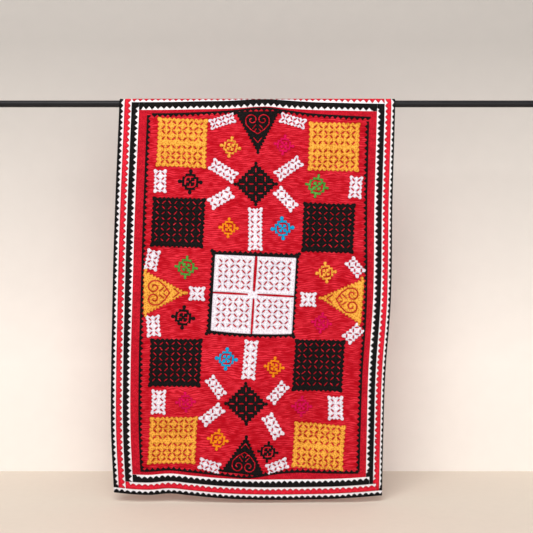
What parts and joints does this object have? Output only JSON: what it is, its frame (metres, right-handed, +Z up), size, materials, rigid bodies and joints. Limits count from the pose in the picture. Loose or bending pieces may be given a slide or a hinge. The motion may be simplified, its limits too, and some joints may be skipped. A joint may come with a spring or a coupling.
{
  "type": "ralli quilt on a hanging rod",
  "caption": "Quilted patchwork cloth of red, black, white and yellow cut-work, hung over a plain round rod so that its whole front shows.",
  "frame": {"origin": "middle of the rod's left end face, seen from the quilt's front", "axes": "+X along the rod to its right end, +Z up, and the quilt's front faces -Y"},
  "size_m": [2.6, 0.0559, 1.886],
  "materials": {
    "black_paint": "semi-gloss",
    "red_cloth": "matt cotton",
    "white_cloth": "matt cotton",
    "black_cloth": "matt cotton",
    "yellow_cloth": "matt cotton"
  },
  "bodies": {
    "root": {"rod": "black_paint", "backing": "red_cloth", "field_left": "red_cloth", "field_right": "red_cloth", "ground_top": "white_cloth", "ground_bottom": "white_cloth", "ground_left": "white_cloth", "ground_right": "white_cloth", "wide_red_top": "red_cloth", "wide_red_bottom": "red_cloth", "wide_red_left": "red_cloth", "wide_red_right": "red_cloth", "hem_strip_top": "black_cloth", "hem_strip_bottom": "black_cloth", "hem_strip_left": "black_cloth", "hem_strip_right": "black_cloth", "red_strip_top": "red_cloth", "red_strip_bottom": "red_cloth", "red_strip_left": "red_cloth", "red_strip_right": "red_cloth", "black_strip_top": "black_cloth", "black_strip_bottom": "black_cloth", "black_strip_left": "black_cloth", "black_strip_right": "black_cloth", "frame_top": "black_cloth", "frame_bottom": "black_cloth", "frame_left": "black_cloth", "frame_right": "black_cloth", "square_yellow_top_left": "yellow_cloth", "square_yellow_top_right": "yellow_cloth", "square_yellow_bottom_left": "yellow_cloth", "square_yellow_bottom_right": "yellow_cloth", "square_black_upper_left": "black_cloth", "square_black_upper_right": "black_cloth", "square_black_lower_left": "black_cloth", "square_black_lower_right": "black_cloth", "diamond_upper": "black_cloth", "diamond_lower": "black_cloth", "centre_black": "black_cloth", "centre_white": "white_cloth", "triangle_black_top": "black_cloth", "triangle_black_bottom": "black_cloth", "triangle_yellow_left": "yellow_cloth", "triangle_yellow_right": "yellow_cloth"}
  },
  "joints": []
}
